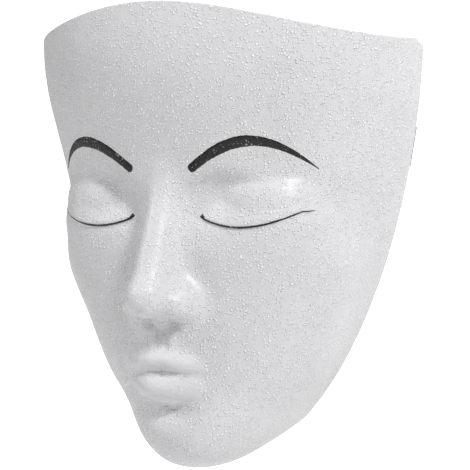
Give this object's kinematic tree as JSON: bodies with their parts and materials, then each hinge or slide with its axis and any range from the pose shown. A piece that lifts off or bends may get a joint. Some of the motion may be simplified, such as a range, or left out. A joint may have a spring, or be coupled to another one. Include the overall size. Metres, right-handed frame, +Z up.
{
  "type": "venetian masquerade mask",
  "caption": "White pebble-textured full-face mask with closed eyes, calm lips, black painted brows and lash lines, a high arched top edge and a hanging ring inside.",
  "frame": {"origin": "on the wall plane behind the eye of the hanger ring, where the hook goes in", "axes": "+Z up, the face looks along -Y, +X to the mask's own left; the wall is the plane Y = 0"},
  "size_m": [0.208, 0.1151, 0.2345],
  "materials": {
    "shell_lacquer": "pebbled white lacquer over papier-mache",
    "black_enamel": "gloss enamel film",
    "pine": "planed, unfinished",
    "screw_steel": "bright zinc",
    "hanger_steel": "plated steel",
    "felt": "dark felt"
  },
  "bodies": {
    "mask": {"mask_shell": "shell_lacquer", "left_brow": "black_enamel", "right_brow": "black_enamel", "left_lash_line": "black_enamel", "right_lash_line": "black_enamel", "left_glue_block": "pine", "right_glue_block": "pine", "hanger_bar": "pine", "left_bar_screw": "screw_steel", "right_bar_screw": "screw_steel", "hanger_strap": "hanger_steel", "strap_screw": "screw_steel", "left_felt": "felt", "right_felt": "felt", "chin_felt": "felt"},
    "ring": {"hanger_ring": "hanger_steel"}
  },
  "joints": [
    {"name": "ring_swing", "type": "hinge", "parent": "mask", "child": "ring", "pos_m": [0, -0.0069, 0.006], "axis": [1, 0, 0], "range_deg": [0, 180]}
  ]
}
